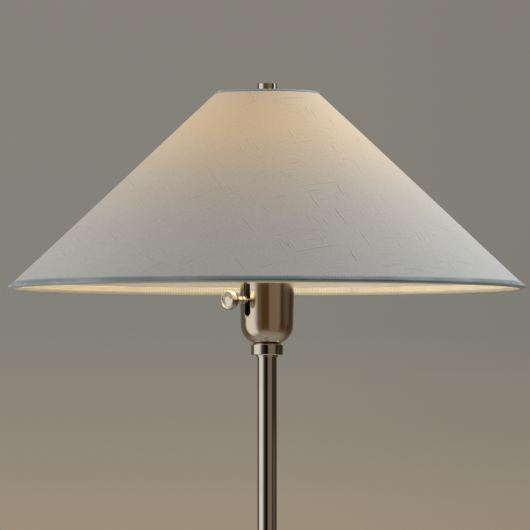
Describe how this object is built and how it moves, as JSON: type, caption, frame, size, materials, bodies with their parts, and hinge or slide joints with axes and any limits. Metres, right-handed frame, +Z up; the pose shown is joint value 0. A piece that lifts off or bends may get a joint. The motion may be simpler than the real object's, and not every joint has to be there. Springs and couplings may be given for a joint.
{
  "type": "floor lamp",
  "caption": "Height-adjustable floor lamp: cone linen shade on a harp, nickel socket cup with a turn knob, telescoping pole with a thumb screw, round weighted base.",
  "frame": {"origin": "on the floor under the pole's axis", "axes": "+Z up the pole; the front of the lamp faces -Y; +X to the right seen from the front"},
  "size_m": [0.5074, 0.5074, 1.524],
  "materials": {
    "nickel": "polished nickel",
    "satin": "brushed nickel",
    "brass": "plain turned brass",
    "steel": "zinc plated",
    "iron": "painted black, hidden",
    "linen": "off-white linen weave on a clear liner",
    "felt": "black felt",
    "phenolic": "black phenolic",
    "nylon": "natural nylon",
    "glass": "frosted"
  },
  "bodies": {
    "stand": {"felt_pad": "felt", "base_cover": "nickel", "base_weight": "iron", "cord_bushing": "phenolic", "base_washer": "steel", "base_nut": "brass", "base_boss": "nickel", "foot_plug": "brass", "base_pipe": "steel", "lower_pole": "nickel", "clamp_collar": "nickel", "guide_bush": "nylon", "lock_pad": "brass"},
    "lock": {"lock_screw": "nickel"},
    "mast": {"upper_pole": "nickel", "slide_bush": "nylon", "pole_plug": "brass", "cup_pipe": "steel", "neck_collar": "nickel", "socket_cup": "satin", "harp_saddle": "brass", "cup_washer": "steel", "cup_nut": "brass", "holder_cap": "phenolic", "holder_shell": "phenolic", "switch_block": "phenolic", "screw_shell": "brass", "centre_contact": "brass", "terminal_screw_live": "brass", "terminal_screw_neutral": "brass", "harp_bow": "satin", "harp_stud": "brass"},
    "dimmer": {"turn_knob": "nickel", "switch_shaft": "brass"},
    "bulb": {"bulb_tip": "brass", "bulb_base": "steel", "bulb_glass": "glass"},
    "ferrule_left": {"harp_ferrule_left": "satin"},
    "ferrule_right": {"harp_ferrule_right": "satin"},
    "shade": {"shade_skin": "linen", "bottom_trim": "linen", "top_trim": "linen", "bottom_ring": "steel", "shade_spider": "satin"},
    "finial": {"finial": "nickel"}
  },
  "joints": [
    {"name": "height_slide", "type": "slide", "parent": "stand", "child": "mast", "axis": [0, 0, 1], "range_m": [-0.4086, 0.059]},
    {"name": "lock_turn", "type": "hinge", "parent": "stand", "child": "lock", "pos_m": [0.0175, 0, 0.8354], "axis": [1, 0, 0], "range_deg": [0, 720]},
    {"name": "dimmer_turn", "type": "hinge", "parent": "mast", "child": "dimmer", "pos_m": [-0.02329, -0.02061, 1.3105], "axis": [-0.749, -0.6626, 0], "range_deg": [-210, 90]},
    {"name": "bulb_turn", "type": "hinge", "parent": "mast", "child": "bulb", "pos_m": [0, 0, 1.3225], "axis": [0, 0, 1], "range_deg": [0, 1080]},
    {"name": "left_ferrule_slide", "type": "slide", "parent": "mast", "child": "ferrule_left", "axis": [0, 0, 1], "range_m": [0, 0.009]},
    {"name": "right_ferrule_slide", "type": "slide", "parent": "mast", "child": "ferrule_right", "axis": [0, 0, 1], "range_m": [0, 0.009]},
    {"name": "shade_turn", "type": "hinge", "parent": "mast", "child": "shade", "pos_m": [0, 0, 1.49792], "axis": [0, 0, 1], "continuous": true},
    {"name": "finial_turn", "type": "hinge", "parent": "mast", "child": "finial", "pos_m": [0, 0, 1.50792], "axis": [0, 0, 1], "range_deg": [0, 2880]}
  ]
}
